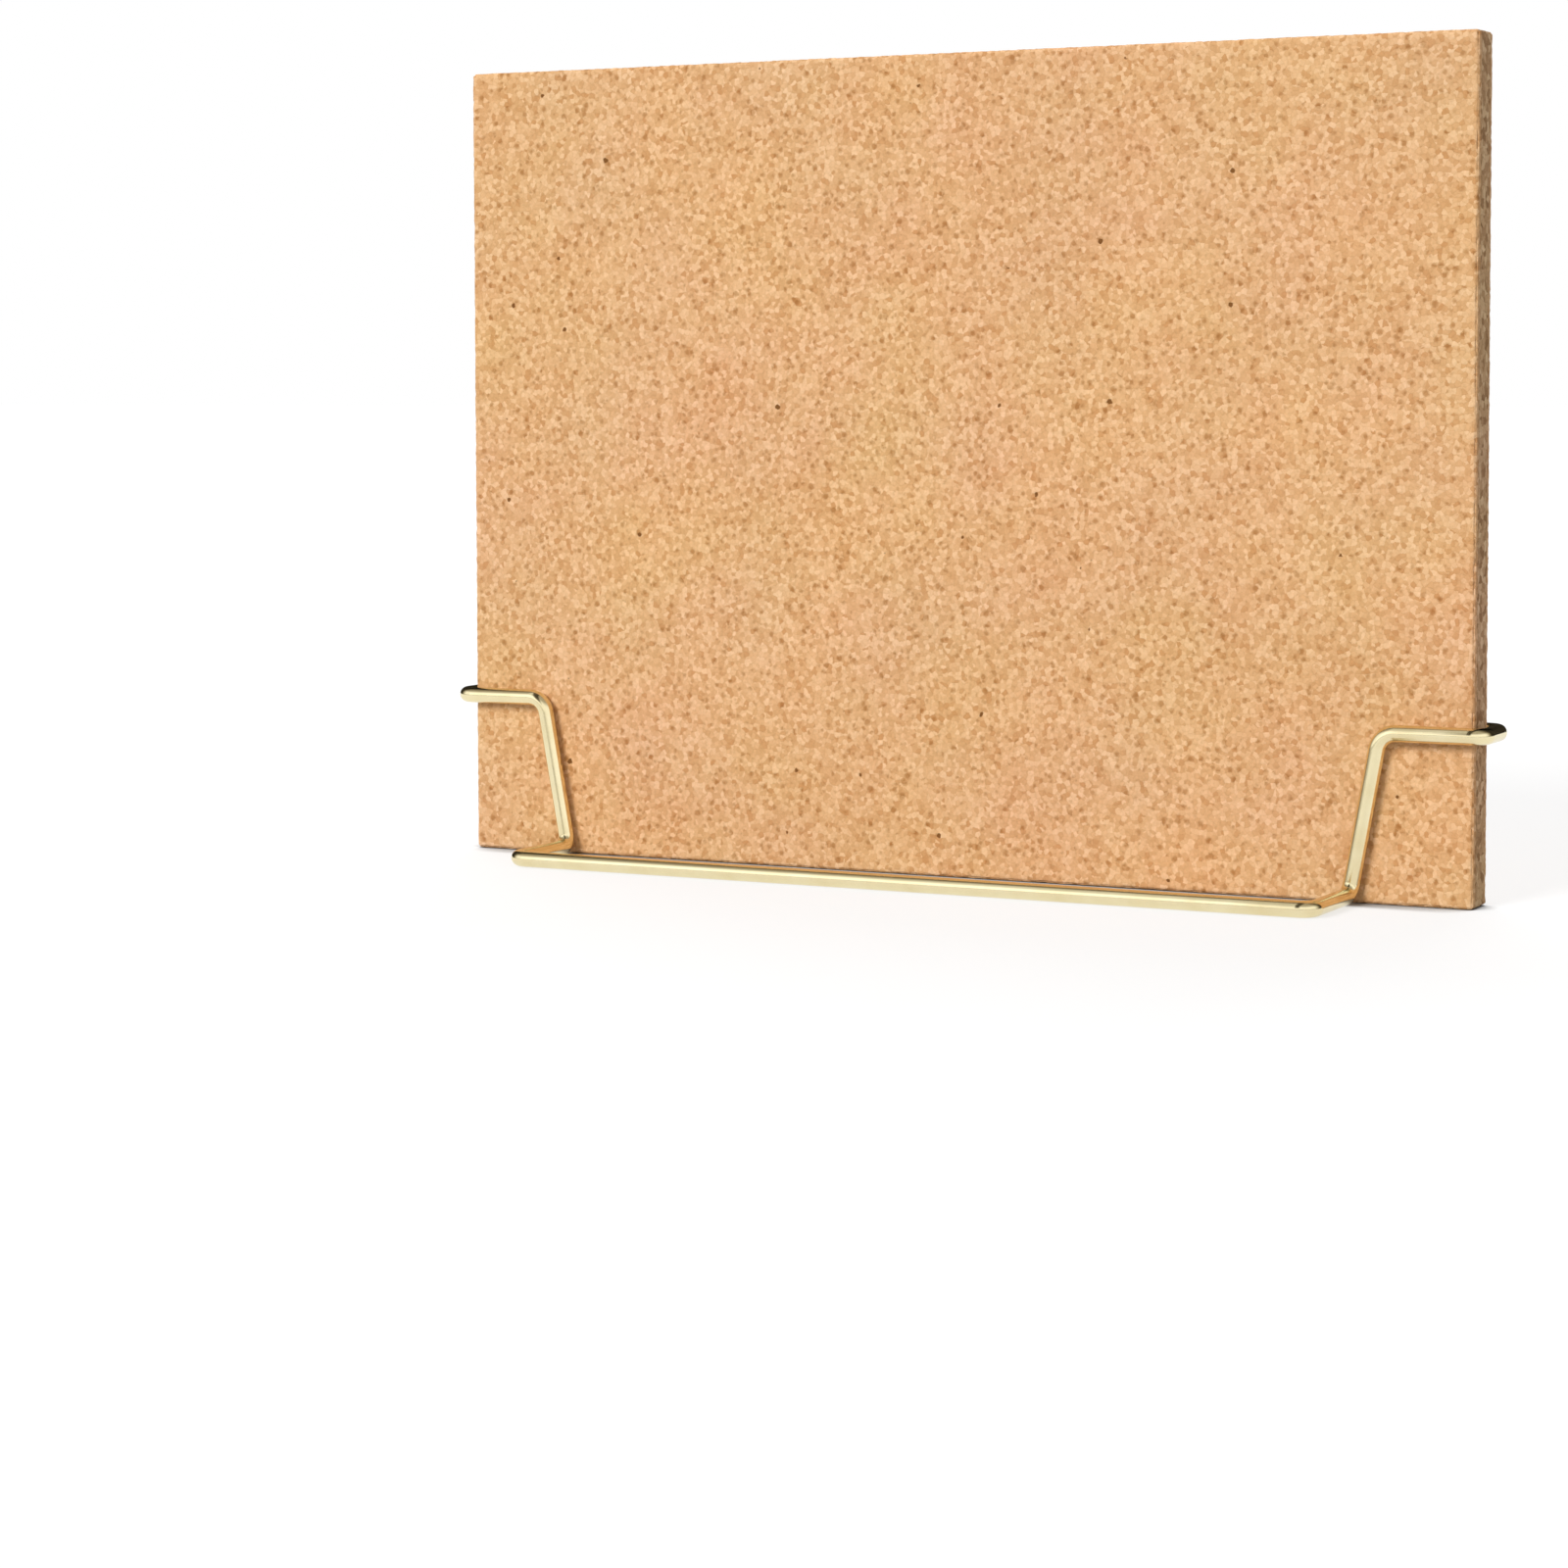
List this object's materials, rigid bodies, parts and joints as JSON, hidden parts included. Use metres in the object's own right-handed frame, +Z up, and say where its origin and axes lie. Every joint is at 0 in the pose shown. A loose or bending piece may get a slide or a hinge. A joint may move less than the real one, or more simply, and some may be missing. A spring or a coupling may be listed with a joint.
{
  "type": "desktop cork board",
  "caption": "Frameless cork pin board, wider than tall, standing on edge inside a closed loop of bent brass-plated wire that forms low feet in front and behind.",
  "frame": {"origin": "on the table, under the middle of the cork slab", "axes": "+X to the right along the board's width, -Y out of the front face towards the person who looks at it, +Z up"},
  "size_m": [0.414, 0.108, 0.3],
  "materials": {
    "front_cork": "matte",
    "core_cork": "matte",
    "rear_cork": "matte",
    "brass_wire": "polished"
  },
  "bodies": {
    "stand": {"wire_stand": "brass_wire"},
    "board": {"front_cork_sheet": "front_cork", "core_board": "core_cork", "rear_cork_sheet": "rear_cork"}
  },
  "joints": [
    {"name": "board_lift", "type": "slide", "parent": "stand", "child": "board", "axis": [0, 0, 1], "range_m": [0, 0.07]}
  ]
}
